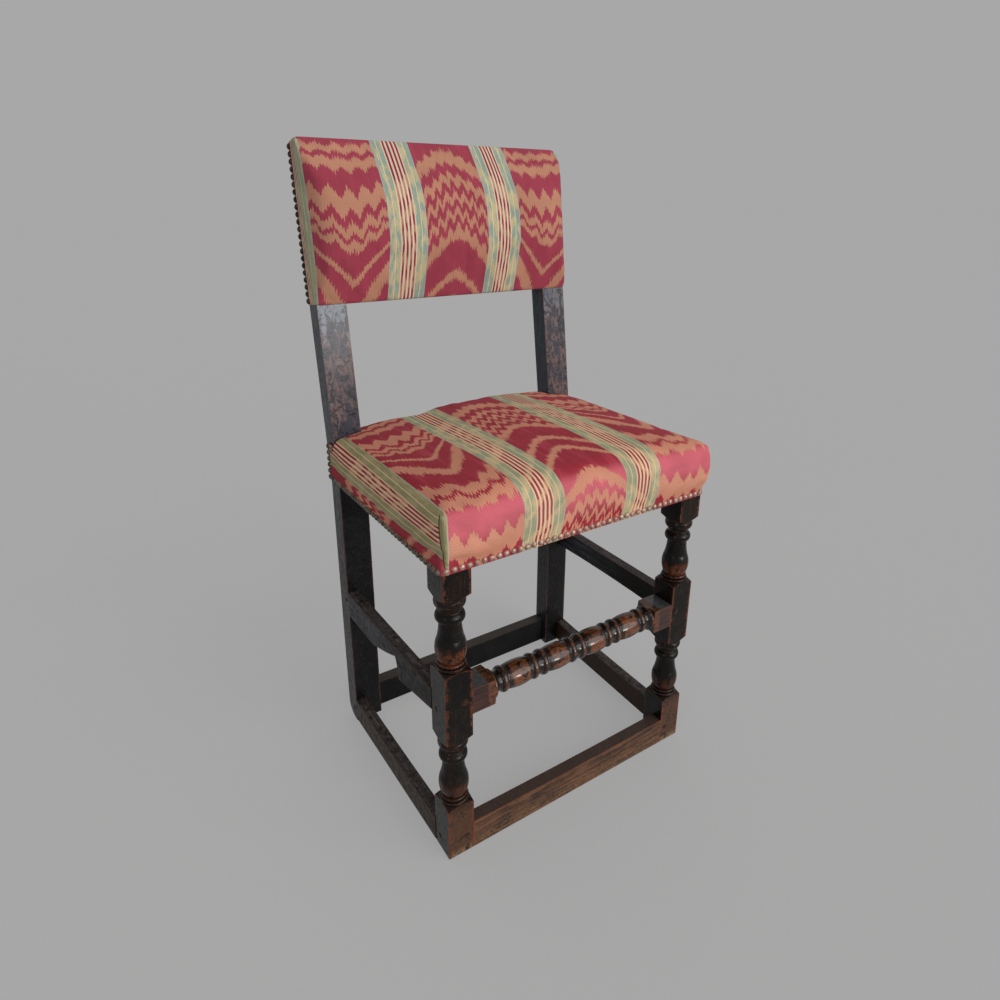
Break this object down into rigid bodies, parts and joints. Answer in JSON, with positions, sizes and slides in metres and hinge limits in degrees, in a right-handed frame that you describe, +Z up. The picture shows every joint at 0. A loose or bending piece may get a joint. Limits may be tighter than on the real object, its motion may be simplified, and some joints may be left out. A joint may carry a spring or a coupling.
{
  "type": "chair",
  "caption": "Joined oak back-stool with turned front legs and front stretcher, leaning uprights, and a seat and back panel in flame-stripe cloth held by close dome nailing.",
  "frame": {"origin": "middle of the chair's bounding box, on the floor plane under the feet", "axes": "+Z up, the front of the seat towards -Y, +X to the right of a person who stands in front of the chair"},
  "size_m": [0.4528, 0.4392, 0.9303],
  "materials": {
    "oak_legs": "dark waxed oak, worn brown at the edges",
    "oak_uprights": "dark waxed oak with a grey sheen",
    "oak_turned": "dark waxed oak, rubbed orange-brown on the high spots",
    "oak_stretchers": "dark worn oak",
    "oak_hidden": "unfinished sawn oak",
    "oak_pegs": "cleft oak, end grain outwards",
    "linen_webs": "coarse webbing",
    "base_linen": "coarse linen",
    "stuffing": "matted hair and tow",
    "flame_cloth": "woven flame-stripe cloth, crimson, tan, sage and maroon",
    "back_cloth": "plain coarse cloth",
    "nail_brass": "tarnished dome heads",
    "tack_iron": "rusty"
  },
  "bodies": {
    "root": {"front_leg_left": "oak_legs", "front_leg_right": "oak_legs", "back_leg_left": "oak_uprights", "back_leg_right": "oak_uprights", "turned_front_stretcher": "oak_turned", "front_low_stretcher": "oak_stretchers", "side_upper_stretcher_left": "oak_stretchers", "side_upper_stretcher_right": "oak_stretchers", "side_low_stretcher_left": "oak_stretchers", "side_low_stretcher_right": "oak_stretchers", "back_low_stretcher": "oak_stretchers", "seat_rail_front": "oak_hidden", "seat_rail_back": "oak_hidden", "seat_rail_left": "oak_hidden", "seat_rail_right": "oak_hidden", "back_lower_rail": "oak_hidden", "back_top_rail": "oak_hidden", "front_leg_pegs": "oak_pegs", "back_leg_pegs": "oak_pegs", "seat_webs_long": "linen_webs", "seat_webs_cross": "linen_webs", "back_webs": "linen_webs", "seat_base_cloth": "base_linen", "back_base_cloth": "base_linen", "seat_stuffing": "stuffing", "back_stuffing": "stuffing", "seat_cover": "flame_cloth", "back_cover": "flame_cloth", "back_outer_cover": "back_cloth", "seat_nails_front": "nail_brass", "seat_nails_left": "nail_brass", "seat_nails_right": "nail_brass", "seat_nails_back": "nail_brass", "back_nails_left": "nail_brass", "back_nails_right": "nail_brass", "back_nails_rear": "nail_brass", "seat_web_tacks": "tack_iron", "back_web_tacks": "tack_iron"}
  },
  "joints": []
}
